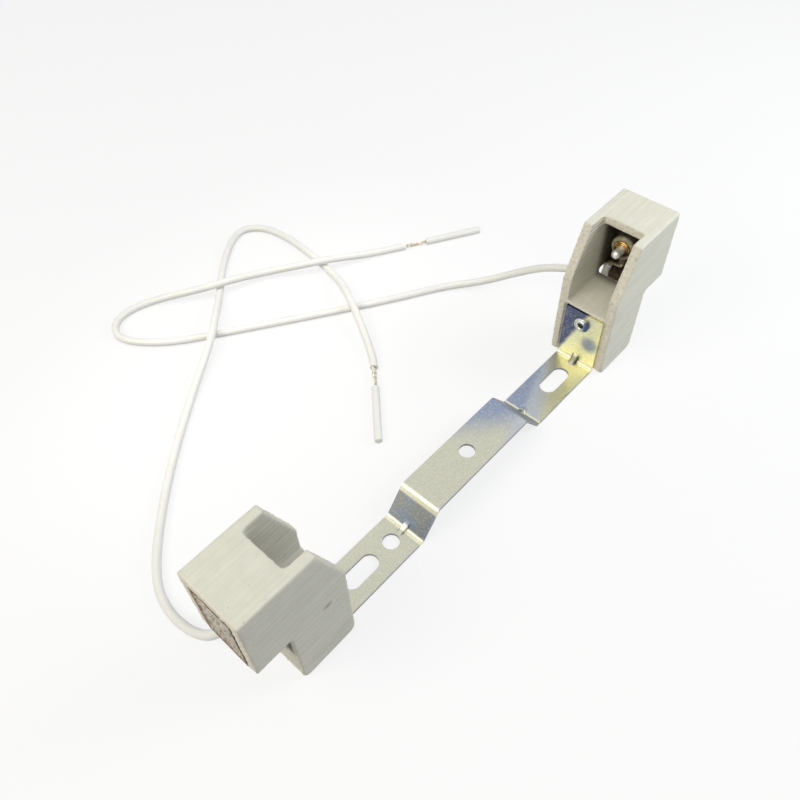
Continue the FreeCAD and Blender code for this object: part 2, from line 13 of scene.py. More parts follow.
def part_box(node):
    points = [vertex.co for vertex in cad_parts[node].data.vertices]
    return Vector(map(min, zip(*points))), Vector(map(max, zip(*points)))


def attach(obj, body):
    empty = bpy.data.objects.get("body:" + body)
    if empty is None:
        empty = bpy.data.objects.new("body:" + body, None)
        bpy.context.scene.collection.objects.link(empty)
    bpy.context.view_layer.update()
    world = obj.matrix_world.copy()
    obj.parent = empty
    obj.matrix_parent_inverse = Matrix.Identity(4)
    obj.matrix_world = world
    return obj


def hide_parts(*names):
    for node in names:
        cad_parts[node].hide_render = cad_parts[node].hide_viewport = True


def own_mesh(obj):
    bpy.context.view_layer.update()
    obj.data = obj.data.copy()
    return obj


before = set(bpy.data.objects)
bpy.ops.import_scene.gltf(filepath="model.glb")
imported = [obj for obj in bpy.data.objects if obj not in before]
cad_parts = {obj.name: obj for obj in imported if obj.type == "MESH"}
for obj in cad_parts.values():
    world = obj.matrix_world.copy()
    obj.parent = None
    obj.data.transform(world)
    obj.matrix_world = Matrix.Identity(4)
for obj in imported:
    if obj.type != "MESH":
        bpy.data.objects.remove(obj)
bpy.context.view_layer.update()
MM = 0.001
SIDES = {"right": 1, "left": -1}

# ---------------------------------------------------------------- steel strip
# Cold rolled strip, 0.8 mm thick, pierced, joggled and bent up at both ends, then zinc
# plated. Short ribs are pressed into its bends. Plating leaves it satin, in faint tints.
ZINC = (0.51, 0.51, 0.42)
ZINC_DARK_REFLECTION = (0.27, 0.28, 0.27)
ZINC_STRAW = (0.60, 0.58, 0.37)
ZINC_SILVER = (0.43, 0.47, 0.53)
ZINC_BLUE = (0.23, 0.28, 0.41)
ZINC_DARK_BLUE = (0.03, 0.05, 0.16)
ZINC_YELLOW = (1.0, 0.96, 0.58)
ZINC_BEND_HIGHLIGHT = (0.86, 0.83, 0.60)
ZINC_ROLLED = (0.46, 0.46, 0.42)
ZINC_PITTED = (0.30, 0.30, 0.27)
ZINC_FROST = (0.62, 0.63, 0.57)
SADDLE_SHADE = (0.17, 0.16, 0.09)
# Direction in which a tint comes in, where it starts and is full, its waviness, and the tint.
TINT_DRIFTS = (((1, 1.2, 0), 5 * MM, 20 * MM, 4 * MM, ZINC_BLUE),
               ((1, -3, 0), 20 * MM, 30 * MM, 2.5 * MM, ZINC_SILVER),
               ((1, -2, 0), 30 * MM, 40 * MM, 2.5 * MM, ZINC_STRAW))
# A blue patch on each tab, partly passivation tint and partly painted reflection: its centre on Y
# and Z, and where it starts and is full.
TAB_SPOT = (0, -3.2 * MM, 8.5 * MM)
TAB_SPOT_EDGE = 3.4 * MM
TAB_SPOT_CORE = 1.2 * MM
BEND_HIGHLIGHT_FADE = 0.3 * MM
# Place on X and half width of the painted highlight band at each bend.
BENDS = ((-17.3 * MM, 0.8 * MM), (-22.8 * MM, 0.8 * MM), (22.9 * MM, 0.45 * MM),
         (-45.9 * MM, 0.6 * MM), (45.9 * MM, 0.6 * MM))
STRIP_EDGE_ROUND = 0.09 * MM
RIB_ROUND = 0.42 * MM
RIB_HALF = 0.85 * MM
TAB_START = 46.3 * MM
SHARP = math.radians(32)


def node(tree, kind, inputs=None, **settings):
    """Add a shader node; its inputs are numbers, colours or other nodes' sockets."""
    made = tree.nodes.new("ShaderNode" + kind)
    for name, setting in settings.items():
        setattr(made, name, setting)
    for name, given in (inputs or {}).items():
        if isinstance(given, bpy.types.NodeSocket):
            tree.links.new(given, made.inputs[name])
        else:
            made.inputs[name].default_value = given
    return made


def new_finish(name, roughness, metallic=0.0):
    """Material with one Principled shader, read on the piece's own Object coordinates."""
    material = bpy.data.materials.new(name)
    material.use_nodes = True
    tree = material.node_tree
    shader = tree.nodes["Principled BSDF"]
    shader.inputs["Roughness"].default_value = roughness
    shader.inputs["Metallic"].default_value = metallic
    place = node(tree, "TexCoord").outputs["Object"]
    return material, tree, shader, place


def grain(tree, place, per_metre, detail=4.0, stretch=(1, 1, 1), rough=0.55):
    """Noise from 0 to 1; stretch is how many times finer it runs along X, Y and Z."""
    spread = node(tree, "Mapping", {"Vector": place, "Scale": stretch})
    return node(tree, "TexNoise", {"Vector": spread.outputs["Vector"], "Scale": per_metre,
                                   "Detail": detail, "Roughness": rough}).outputs["Fac"]


def ramp(tree, factor, stops):
    """Colours at places from 0 to 1, eased between them; a single number is a grey."""
    made = node(tree, "ValToRGB", {"Fac": factor})
    made.color_ramp.interpolation = "EASE"
    while len(made.color_ramp.elements) < len(stops):
        made.color_ramp.elements.new(0.5)
    for element, (spot, tone) in zip(made.color_ramp.elements, stops):
        element.position = spot
        element.color = (*tone, 1) if isinstance(tone, tuple) else (tone, tone, tone, 1)
    return made.outputs["Color"]


def mixed(tree, factor, under, over):
    """Blend of two colours, from under at factor 0 to over at 1."""
    made = node(tree, "Mix", data_type="RGBA")
    for socket, given in zip((made.inputs["Factor"], made.inputs[6], made.inputs[7]),
                             (factor, under, over)):
        if isinstance(given, bpy.types.NodeSocket):
            tree.links.new(given, socket)
        elif isinstance(given, tuple):
            socket.default_value = (*given, 1)
        else:
            socket.default_value = given
    return made.outputs[2]


def raised(tree, shader, height, depth, under=None):
    """Bump on the shader, depth in metres, over another bump's normal if there is one."""
    inputs = {"Height": height, "Distance": depth, "Strength": 1.0}
    if under is not None:
        inputs["Normal"] = under
    made = node(tree, "Bump", inputs).outputs["Normal"]
    tree.links.new(made, shader.inputs["Normal"])
    return made


def drift(tree, place, along, low, high, wander=2.5 * MM):
    """Weight from 0 to 1 along a direction, from low to high in metres, with a wavy edge."""
    reach = node(tree, "VectorMath", {0: place, 1: along}, operation="DOT_PRODUCT")
    waves = grain(tree, place, 160, 3.0)
    spot = node(tree, "Math", {0: waves, 1: wander, 2: reach.outputs["Value"]},
                operation="MULTIPLY_ADD").outputs[0]
    return node(tree, "MapRange", {"Value": spot, "From Min": low, "From Max": high},
                interpolation_type="SMOOTHSTEP").outputs["Result"]


def zinc_finish():
    """Tints that drift along the strip, painted highlights on the bends, a painted dark
    reflection on the slopes, painted shade in the tabs' rib saddles, and blue and yellow on the
    tabs, partly passivation tint and partly painted reflection.
    """
    material, tree, shader, place = new_finish("zinc_plate", 0.4, 1.0)
    clouds = grain(tree, place, 170, 2.0)
    tints = ZINC
    for along, low, high, wander, tint in TINT_DRIFTS:
        tints = mixed(tree, drift(tree, place, along, low, high, wander), tints, tint)
    # Painted dark reflection on the slopes: faces that tilt away from up are tinted darker and
    # bluer.
    facing = node(tree, "TexCoord").outputs["Normal"]
    tilt = node(tree, "SeparateXYZ", {"Vector": facing}).outputs["Z"]
    slope = ramp(tree, tilt, [(0.72, 1.0), (0.95, 0.0)])
    slope_reflection = ramp(tree, clouds, [(0.40, ZINC_DARK_REFLECTION), (0.68, ZINC_BLUE)])
    tints = mixed(tree, slope, tints, slope_reflection)
    reach = node(tree, "SeparateXYZ", {"Vector": place}).outputs
    far = node(tree, "Math", {0: reach["X"]}, operation="ABSOLUTE").outputs[0]
    # The pale band along each bend is a painted highlight.
    for middle, half in BENDS:
        off = node(tree, "Math", {0: reach["X"], 1: middle}, operation="SUBTRACT").outputs[0]
        off = node(tree, "Math", {0: off}, operation="ABSOLUTE").outputs[0]
        bend_highlight = node(tree, "MapRange", {"Value": off, "From Min": half,
                                       "From Max": half - BEND_HIGHLIGHT_FADE,
                                       "To Max": 0.8}).outputs["Result"]
        tints = mixed(tree, bend_highlight, tints, ZINC_BEND_HIGHLIGHT)
    # On the tabs the yellow, the dark blue and the blue patch are partly passivation tint and
    # partly painted reflection.
    on_tab = node(tree, "MapRange", {"Value": far, "From Min": TAB_START,
                                     "From Max": TAB_START + 0.5 * MM}).outputs["Result"]
    tab = mixed(tree, drift(tree, place, (0, 1.5, 0.6), 9.4 * MM, 11.4 * MM), ZINC_YELLOW,
                ZINC_DARK_BLUE)
    flat = node(tree, "VectorMath", {0: place, 1: (0, 1, 1)}, operation="MULTIPLY")
    spot = node(tree, "VectorMath", {0: flat.outputs[0], 1: TAB_SPOT}, operation="DISTANCE")
    patch = node(tree, "MapRange", {"Value": spot.outputs["Value"],
                                    "From Min": TAB_SPOT_EDGE, "From Max": TAB_SPOT_CORE,
                                    "To Max": 0.85},
                 interpolation_type="SMOOTHSTEP").outputs["Result"]
    tab = mixed(tree, patch, tab, ZINC_BLUE)
    tints = mixed(tree, on_tab, tints, tab)
    # Painted shade in the saddle of the rib at each tab's bend.
    middle = node(tree, "Math", {0: reach["Y"]}, operation="ABSOLUTE").outputs[0]
    saddle = node(tree, "MapRange", {"Value": middle, "From Min": 1.3 * MM,
                                     "From Max": 0.9 * MM}).outputs["Result"]
    near = node(tree, "MapRange", {"Value": far, "From Min": TAB_START - 1.6 * MM,
                                   "From Max": TAB_START - 1.0 * MM}).outputs["Result"]
    low = node(tree, "MapRange", {"Value": reach["Z"], "From Min": 3.2 * MM,
                                  "From Max": 2.4 * MM}).outputs["Result"]
    saddle = node(tree, "Math", {0: saddle, 1: near}, operation="MULTIPLY").outputs[0]
    saddle = node(tree, "Math", {0: saddle, 1: low}, operation="MULTIPLY").outputs[0]
    tints = mixed(tree, saddle, tints, SADDLE_SHADE)
    rolled = grain(tree, place, 300, 3.0, (1, 12, 12))
    sparkle = grain(tree, place, 2600, 3.0, rough=0.7)
    frost = grain(tree, place, 1700, 2.0, rough=0.6)
    for share, tint in ((ramp(tree, rolled, [(0.35, 0.0), (0.7, 0.12)]), ZINC_ROLLED),
                        (ramp(tree, sparkle, [(0.38, 0.30), (0.54, 0.0)]), ZINC_PITTED),
                        (ramp(tree, frost, [(0.50, 0.0), (0.70, 0.30)]), ZINC_FROST)):
        tints = mixed(tree, share, tints, tint)
    tree.links.new(tints, shader.inputs["Base Color"])
    satin = ramp(tree, rolled, [(0.3, 0.30), (0.7, 0.42)])
    tree.links.new(mixed(tree, slope, satin, (0.5, 0.5, 0.5)), shader.inputs["Roughness"])
    fine = raised(tree, shader, sparkle, 0.006 * MM)
    raised(tree, shader, rolled, 0.004 * MM, fine)
    return material


def joined_copy(source):
    """Editable copy of a CAD solid's surface, its loose triangles joined into one skin."""
    shape = bmesh.new()
    shape.from_mesh(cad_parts[source].data)
    bmesh.ops.remove_doubles(shape, verts=shape.verts, dist=0.002 * MM)
    return shape


def new_piece(name, shape, finishes, slot, body, *stands_for, sharp=SHARP):
    """Object from a bmesh, at the origin, that rides on its body; its slot is not used."""
    mesh = bpy.data.meshes.new(name)
    shape.to_mesh(mesh)
    shape.free()
    mesh.shade_smooth()
    mesh.set_sharp_from_angle(angle=sharp)
    for finish in finishes:
        mesh.materials.append(finish)
    piece = bpy.data.objects.new(name, mesh)
    bpy.context.scene.collection.objects.link(piece)
    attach(piece, body)
    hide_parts(*stands_for)
    return piece


strip = joined_copy("bracket")
bmesh.ops.dissolve_limit(strip, angle_limit=math.radians(0.5), verts=strip.verts,
                         edges=strip.edges)


def sharp_edges(shape):
    """Edges between two faces that the finish has to round."""
    return [edge for edge in shape.edges
            if len(edge.link_faces) == 2 and edge.calc_face_angle() > SHARP]


rib_edges = [edge for edge in sharp_edges(strip) if edge.calc_face_angle_signed() > 0
             and all(abs(abs(vert.co.y) - RIB_HALF) < 0.1 * MM for vert in edge.verts)]
bmesh.ops.bevel(strip, geom=rib_edges, affect="EDGES", offset=RIB_ROUND, segments=4,
                profile=0.5, material=-1, clamp_overlap=True)
bmesh.ops.bevel(strip, geom=sharp_edges(strip), affect="EDGES", offset=STRIP_EDGE_ROUND,
                segments=2, profile=0.5, material=-1, clamp_overlap=True)
strip = new_piece("steel_strip", strip, [zinc_finish()], "zinc_steel", "holder_body",
                  "bracket")
strip.modifiers.new("flat_faces", "WEIGHTED_NORMAL").keep_sharp = True

# ---------------------------------------------------------------- ceramic holders
# Steatite, extruded along X, cut to shape, drilled and fired. The skin keeps the die's
# fine lines; every cut across them is coarse and dusty, and the firing rounds its edges.
CERAMIC = (0.86, 0.84, 0.73)
CERAMIC_CUT = (0.80, 0.75, 0.63)
CERAMIC_DARKENED = (0.075, 0.05, 0.03)
CERAMIC_DULL = (0.82, 0.80, 0.69)
CERAMIC_LINE = (0.62, 0.61, 0.54)
CERAMIC_GROOVE_SHADE = (0.42, 0.38, 0.28)
CERAMIC_SPECK = (0.30, 0.25, 0.19)
CERAMIC_CHIP_LIGHT = (0.98, 0.97, 0.94)
FACE_SIZE = 0.30 * MM
ROUNDING_PASSES = 3
# The cut lines on the ceramic: pitches in millimetres, and waves or lumps per millimetre.
LINES_PER_MM = 0.05
LINE_PITCH = 0.85
LINE_DEPTH = 0.11 * MM
CUTS_PER_MM = 1.3
CUT_DEPTH = 0.16 * MM
ROOF_SETBACK = 10.7 * MM
FLOOR_HEIGHT = 19.1 * MM
ROOF_THICK = 2.4 * MM
SIDE_WALL = 2.5 * MM
RIVET_HEIGHT = 14.5 * MM
POCKET_START = 55.7 * MM
POCKET_END = 61.5 * MM
POCKET_WALL = 1.3 * MM
RIB_PITCH = 1.3 * MM
NICK = Vector((-52.5, -8.0, 20.2)) * MM
NICK_SIZE = Vector((1.5, 0.8, 0.75)) * MM
NICK_DEPTH = 0.5 * MM
# How deep the grooves inside each holder's channel are, and how much painted shade they carry, as
# a share of the deepest.
GROOVING = {"right": 1.0, "left": 0.35}


def ceramic_finish():
    """Pale skin with die lines, coarse cuts, a darker chamber, painted shade in the rivet's
    pocket, in the grooves and under one chip, whose upper part is pale, partly fresh break and
    partly painted highlight.
    """
    material, tree, shader, place = new_finish("steatite", 0.55)
    lines = grain(tree, place, 1500, 2.0, (0.02, 1, 1))
    mottle = grain(tree, place, 320, 4.0)
    specks = grain(tree, place, 1700, 2.0, rough=0.7)
    skin = ramp(tree, mottle, [(0.35, CERAMIC_DULL), (0.65, CERAMIC)])
    facing = node(tree, "TexCoord").outputs["Normal"]
    upward = node(tree, "SeparateXYZ", {"Vector": facing}).outputs["Z"]
    plain = ramp(tree, upward, [(0.6, 1.0), (0.9, 0.45)])
    faint = node(tree, "Math", {0: ramp(tree, lines, [(0.38, 0.0), (0.62, 0.34)]), 1: plain},
                 operation="MULTIPLY").outputs[0]
    skin = mixed(tree, faint, skin, CERAMIC_LINE)
    height = node(tree, "SeparateXYZ", {"Vector": place}).outputs["Z"]
    sway = grain(tree, place, 220, 2.0, (0.05, 1, 1))
    turn = node(tree, "Math", {0: height, 1: 2 * math.pi / RIB_PITCH},
                operation="MULTIPLY").outputs[0]
    turn = node(tree, "Math", {0: sway, 1: 7.0, 2: turn}, operation="MULTIPLY_ADD").outputs[0]
    wave = node(tree, "Math", {0: turn}, operation="SINE").outputs[0]
    ribs = node(tree, "MapRange", {"Value": wave, "From Min": -0.6, "From Max": 0.8}).outputs[0]
    inner = node(tree, "Attribute", attribute_name="inner").outputs["Fac"]
    grooves = node(tree, "Math", {0: ribs, 1: inner}, operation="MULTIPLY").outputs[0]
    # The groove troughs are darkened as painted shade.
    groove_shade = node(tree, "Math", {0: grooves, 1: 0.36}, operation="MULTIPLY").outputs[0]
    skin = mixed(tree, groove_shade, skin, CERAMIC_GROOVE_SHADE)
    cut = ramp(tree, grain(tree, place, 1400, 5.0), [(0.3, (0.69, 0.62, 0.50)),
                                                     (0.5, CERAMIC_CUT),
                                                     (0.7, (0.88, 0.85, 0.77))])
    share = node(tree, "Attribute", attribute_name="cut").outputs["Fac"]
    both = mixed(tree, share, skin, cut)
    both = mixed(tree, ramp(tree, specks, [(0.70, 0.0), (0.74, 0.75)]), both, CERAMIC_SPECK)
    # Darker inside the chamber; in the rivet's pocket and under the chip this darkening is
    # painted shade.
    darkened = node(tree, "Attribute", attribute_name="darkened").outputs["Fac"]
    both = mixed(tree, darkened, both, CERAMIC_DARKENED)
    chip_light = node(tree, "Attribute", attribute_name="chip_light").outputs["Fac"]
    both = mixed(tree, chip_light, both, CERAMIC_CHIP_LIGHT)
    tree.links.new(both, shader.inputs["Base Color"])
    shader.inputs["Specular IOR Level"].default_value = 0.35
    first = raised(tree, shader, lines, 0.07 * MM)
    second = raised(tree, shader, grooves, 0.14 * MM, first)
    raised(tree, shader, grain(tree, place, 3500, 4.0), 0.035 * MM, second)
    return material


def eased(value, low, high):
    """0 below low, 1 above high, and a smooth step between them."""
    share = min(1.0, max(0.0, (value - low) / (high - low)))
    return share * share * (3 - 2 * share)


def fired_skin(source):
    """Even fine mesh of a CAD solid, its edges rounded by smoothing."""
    raw = bpy.data.meshes.new(source + "_raw")
    shape = joined_copy(source)
    shape.to_mesh(raw)
    shape.free()
    blank = bpy.data.objects.new(source + "_blank", raw)
    bpy.context.scene.collection.objects.link(blank)
    remesh = blank.modifiers.new("even", "REMESH")
    remesh.mode = "VOXEL"
    remesh.voxel_size = FACE_SIZE
    fine = blank.evaluated_get(bpy.context.evaluated_depsgraph_get()).to_mesh()
    shape = bmesh.new()
    shape.from_mesh(fine)
    bpy.data.objects.remove(blank)
    for _ in range(ROUNDING_PASSES):
        bmesh.ops.smooth_vert(shape, verts=shape.verts, factor=0.5,
                              use_axis_x=True, use_axis_y=True, use_axis_z=True)
    return shape


def darkening(spot, sign, low, high):
    """How dark the ceramic is at a spot: much inside the chamber, and in the rivet's pocket as
    painted shade.
    """
    depth = sign * spot.x - min(abs(low.x), abs(high.x))
    roof_under = high.z - ROOF_THICK
    chamber = eased(depth, ROOF_SETBACK + 0.5 * MM, ROOF_SETBACK + 4.5 * MM)
    chamber *= 1 - eased(abs(spot.y), high.y - SIDE_WALL, high.y - SIDE_WALL + 0.4 * MM)
    chamber *= 1 - eased(spot.z, roof_under, roof_under + 0.7 * MM)
    chamber *= eased(spot.z, FLOOR_HEIGHT - 1.2 * MM, FLOOR_HEIGHT)
    reach = abs(spot.x)
    pocket = eased(reach, POCKET_START - 0.5 * MM, POCKET_START - 0.2 * MM)
    pocket *= 1 - eased(reach, POCKET_END - 0.6 * MM, POCKET_END - 0.2 * MM)
    pocket *= 1 - eased(abs(spot.y), high.y - POCKET_WALL - 0.1 * MM, high.y - 0.6 * MM)
    pocket *= 1 - eased(abs(spot.z - RIVET_HEIGHT), 3.6 * MM, 4.4 * MM)
    return max(0.9 * chamber, 0.95 * pocket)


def weather(shape, side, sign, low, high):
    """Move every point along its normal; note what is cut, darkened, grooved or chipped; the
    darkening in the pocket and under the chip is painted shade.
    """
    cut_layer = shape.verts.layers.float.new("cut")
    darkened_layer = shape.verts.layers.float.new("darkened")
    inner_layer = shape.verts.layers.float.new("inner")
    chip_light_layer = shape.verts.layers.float.new("chip_light")
    shape.normal_update()
    moves = []
    for vert in shape.verts:
        cut = eased(abs(vert.normal.x), 0.45, 0.8)
        spot = vert.co / MM
        line = noise.noise(Vector((spot.x * LINES_PER_MM, spot.y / LINE_PITCH,
                                   spot.z / LINE_PITCH)))
        coarse = noise.turbulence(spot * CUTS_PER_MM, 3, False) - 0.5
        move = (1 - cut) * LINE_DEPTH * line + cut * CUT_DEPTH * coarse
        shade = 0
        if side == "left":
            away = vert.co - NICK
            hit = Vector([part / size for part, size in zip(away, NICK_SIZE)]).length
            chip = 1 - eased(hit, 0.5, 1.0)
            move -= NICK_DEPTH * chip
            # Painted shade under the chip's lower edge; its upper part is pale, partly as fresh
            # break and partly as painted highlight.
            shade = 0.8 * chip * (1 - eased(away.z, -0.40 * MM, -0.15 * MM))
            vert[chip_light_layer] = min(1.0, 1.5 * chip) * eased(away.z, -0.25 * MM, -0.05 * MM)
        vert[cut_layer] = cut
        vert[darkened_layer] = max(darkening(vert.co, sign, low, high), shade)
        inner = 1 - eased(abs(vert.co.y), high.y - 1.2 * MM, high.y - 0.6 * MM)
        vert[inner_layer] = GROOVING[side] * inner * eased(abs(vert.normal.y), 0.5, 0.8)
        moves.append(vert.normal * move)
    for vert, move in zip(shape.verts, moves):
        vert.co += move


ceramic = ceramic_finish()
for side, sign in SIDES.items():
    source = side + "_holder_ceramic"
    fired = fired_skin(source)
    weather(fired, side, sign, *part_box(source))
    new_piece(side + "_ceramic_holder", fired, [ceramic], "steatite",
              "holder_body", source, sharp=math.radians(80))

# ---------------------------------------------------------------- rear cement
# Refractory cement, trowelled into each chamber's rear opening and under the contact. It dries
# rough and grey, sinks a little, stains the ceramic's rim and is darker inside.
CEMENT_SINK = 0.2 * MM
CEMENT_RELIEF = 0.6 * MM
LUMPS_PER_MM = 0.9
CEMENT_COVER = 0.1 * MM
SEAT_PLAY = 0.3 * MM
BED_RELIEF = 0.4 * MM
BED_LUMPS_PER_MM = 1.1
BED_CUTS = 5
CEMENT_CUTS = 44
ON_FACE = 0.01 * MM
RIM_STAIN = (0.30, 0.20, 0.13)
CEMENT_DARK_INSIDE = (0.07, 0.045, 0.028)


def cement_finish():
    """Grey lumps, brown at the rim and dark inside."""
    material, tree, shader, place = new_finish("sealing_cement", 0.9)
    lumps = grain(tree, place, 700, 6.0, rough=0.65)
    tones = ramp(tree, lumps, [(0.3, (0.34, 0.30, 0.25)), (0.5, (0.60, 0.56, 0.50)),
                               (0.7, (0.80, 0.77, 0.71))])
    rim = node(tree, "Attribute", attribute_name="rim").outputs["Fac"]
    tones = mixed(tree, rim, tones, RIM_STAIN)
    dark_inside = node(tree, "Attribute", attribute_name="dark_inside").outputs["Fac"]
    tree.links.new(mixed(tree, dark_inside, tones, CEMENT_DARK_INSIDE), shader.inputs["Base Color"])
    raised(tree, shader, lumps, 0.25 * MM)
    return material


def cement_block(low, high):
    """Box of small faces from corner to corner."""
    block = bmesh.new()
    bmesh.ops.create_cube(block, size=1.0, matrix=Matrix.Translation((low + high) / 2)
                          @ Matrix.Diagonal((*(high - low), 1.0)))
    bmesh.ops.subdivide_edges(block, edges=block.edges, cuts=CEMENT_CUTS, use_grid_fill=True)
    return block


cement = cement_finish()
for side, sign in SIDES.items():
    low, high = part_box(side + "_back_cement")
    plug = cement_block(low, high)
    rim_layer = plug.verts.layers.float.new("rim")
    dark_inside_layer = plug.verts.layers.float.new("dark_inside")
    outer = max(abs(low.x), abs(high.x))
    inner = min(abs(low.x), abs(high.x))
    guide_low, guide_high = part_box(side + "_contact_guide")
    seat = (guide_low + guide_high) / 2
    guide_end = max(abs(guide_low.x), abs(guide_high.x))
    seat_radius = (guide_high.z - guide_low.z) / 2 + SEAT_PLAY
    coil_low, coil_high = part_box(side + "_contact_spring")
    seat_end = max(abs(coil_low.x), abs(coil_high.x)) + CEMENT_COVER
    for vert in plug.verts:
        gap = min(vert.co.y - low.y, high.y - vert.co.y, vert.co.z - low.z, high.z - vert.co.z)
        vert[rim_layer] = 1 - eased(gap, 0.1 * MM, 1.0 * MM)
        # Darker deeper in, away from the open rear face.
        vert[dark_inside_layer] = eased(outer - abs(vert.co.x), 1.0 * MM, 2.4 * MM)
        if abs(abs(vert.co.x) - outer) < ON_FACE:
            sink = CEMENT_SINK * eased(gap, 0, 2.5 * MM)
            rough = noise.turbulence(vert.co / MM * LUMPS_PER_MM, 4, False) - 0.5
            depth = sink - CEMENT_RELIEF * rough * eased(gap, 0, 0.8 * MM)
            vert.co.x = sign * max(outer - depth, guide_end + CEMENT_COVER)
        if (abs(abs(vert.co.x) - inner) < ON_FACE
                and math.hypot(vert.co.y - seat.y, vert.co.z - seat.z) < seat_radius):
            vert.co.x = sign * seat_end
    new_piece(side + "_rear_cement", plug, [cement], "cement", "holder_body",
              side + "_back_cement")

    bed = joined_copy(side + "_bottom_cement")
    bmesh.ops.triangulate(bed, faces=bed.faces)
    for _ in range(BED_CUTS):
        bmesh.ops.subdivide_edges(bed, edges=bed.edges, cuts=1, use_grid_fill=True)
    dark_inside_layer = bed.verts.layers.float.new("dark_inside")
    low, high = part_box(side + "_bottom_cement")
    for vert in bed.verts:
        vert[dark_inside_layer] = eased(vert.co.z, low.z - 0.5 * MM, low.z + 0.5 * MM)
        rough = noise.turbulence(vert.co / MM * BED_LUMPS_PER_MM, 3, False) - 0.6
        vert.co.z += BED_RELIEF * rough * eased(vert.co.z, low.z, high.z)
    new_piece(side + "_bottom_bed", bed, [cement], "cement", "holder_body",
              side + "_bottom_cement")

# ---------------------------------------------------------------- rivets and washers
# One half-hollow plated rivet holds each tab against its ceramic web. Its hollow end is
# rolled over on the tab in concentric rings, round a dark bore; a washer backs its head.
TURN_STEPS = 64
PLATE_BLUE = (0.07, 0.10, 0.22)
# Faces along X in millimetres, as lathe() takes them.
ROLL_FACE = 45.5
TAB_FACE = 46.7
WASHER_FACE = 53.5
HEAD_FACE = 54.2


def plated_finish():
    """Bright plating, dark blue on the side away from the light."""
    material, tree, shader, place = new_finish("rivet_plate", 0.28, 1.0)
    marks = grain(tree, place, 1800, 4.0)
    tones = ramp(tree, marks, [(0.3, (0.36, 0.36, 0.33)), (0.6, (0.66, 0.66, 0.60))])
    tones = mixed(tree, drift(tree, place, (0, -1, 0), 0.6 * MM, 1.8 * MM, 0.6 * MM), tones,
                  PLATE_BLUE)
    tree.links.new(tones, shader.inputs["Base Color"])
    tree.links.new(ramp(tree, marks, [(0.3, 0.22), (0.7, 0.45)]), shader.inputs["Roughness"])
    raised(tree, shader, marks, 0.02 * MM)
    return material


def lathe(outline, height, sign):
    """Skin turned about a holder's own axis; outline corners are (place on X, radius) in mm."""
    shape = bmesh.new()
    corners = [shape.verts.new((place * MM, 0, radius * MM)) for place, radius in outline]
    edges = [shape.edges.new(pair) for pair in zip(corners, corners[1:])]
    bmesh.ops.spin(shape, geom=corners + edges, cent=(0, 0, 0), axis=(1, 0, 0),
                   angle=2 * math.pi, steps=TURN_STEPS, use_merge=True)
    bmesh.ops.remove_doubles(shape, verts=shape.verts, dist=0.001 * MM)
    bmesh.ops.recalc_face_normals(shape, faces=shape.faces)
    lie = Matrix.Rotation(0 if sign > 0 else math.pi, 4, "Z")
    bmesh.ops.transform(shape, verts=shape.verts, matrix=Matrix.Translation((0, 0, height)) @ lie)
    return shape


def arc(centre, radius, first, last, steps):
    """Corners on an arc of a lathe outline; angles in degrees, 0 along +X."""
    angles = [math.radians(first + (last - first) * step / steps) for step in range(steps + 1)]
    return [(centre[0] + radius * math.cos(a), centre[1] + radius * math.sin(a))
            for a in angles]


plated = plated_finish()
for side, sign in SIDES.items():
    rolled_end = ([(ROLL_FACE + 3.0, 0), (ROLL_FACE + 3.0, 0.55), (ROLL_FACE + 1.2, 0.78)]
                  + arc((ROLL_FACE + 0.42, 1.22), 0.42, 180 + 90, 180 - 60, 10)
                  + [(ROLL_FACE + 0.30, 1.62)]
                  + arc((ROLL_FACE + 0.62, 1.80), 0.30, 200, 90, 8)
                  + [(TAB_FACE, 2.02), (TAB_FACE, 1.6), (HEAD_FACE, 1.6)])
    set_head = [(HEAD_FACE, 2.6), (HEAD_FACE + 0.45, 2.6), (HEAD_FACE + 0.85, 2.38),
                (HEAD_FACE + 1.08, 1.9), (HEAD_FACE + 1.2, 1.1), (HEAD_FACE + 1.2, 0)]
    new_piece(side + "_set_rivet", lathe(rolled_end + set_head, RIVET_HEIGHT, sign), [plated],
              "plated_rivet", "holder_body", side + "_rivet", sharp=math.radians(50))
    ring = [(WASHER_FACE, 1.7), (WASHER_FACE + 0.62, 1.7), (HEAD_FACE, 1.78),
            (HEAD_FACE, 2.92), (HEAD_FACE - 0.08, 3.0), (WASHER_FACE, 3.0),
            (WASHER_FACE, 1.7)]
    new_piece(side + "_washer", lathe(ring, RIVET_HEIGHT, sign), [plated],
              "plated_rivet", "holder_body", side + "_rivet_washer")

# ---------------------------------------------------------------- sprung contacts
# A silvered round-nosed contact slides in a bronze eyelet at the mouth of a ceramic sleeve.
# Behind the sleeve's front wall its hub meets a steel spring; a lug below takes the wire.
CONTACT_HEIGHT = 31.1 * MM
LUG_THICK = 0.8 * MM
LUG_WIDE = 1.6 * MM
LUG_TOP = CONTACT_HEIGHT - 0.98 * MM
SLEEVE_DARK = (0.06, 0.045, 0.03)
BRONZE_SHADED = (0.07, 0.05, 0.03)
# Places along X in millimetres, as lathe() takes them.
TIP_FACE = 55.8
SLEEVE_FACE = 59.6
LUG_PLACE = 61.9


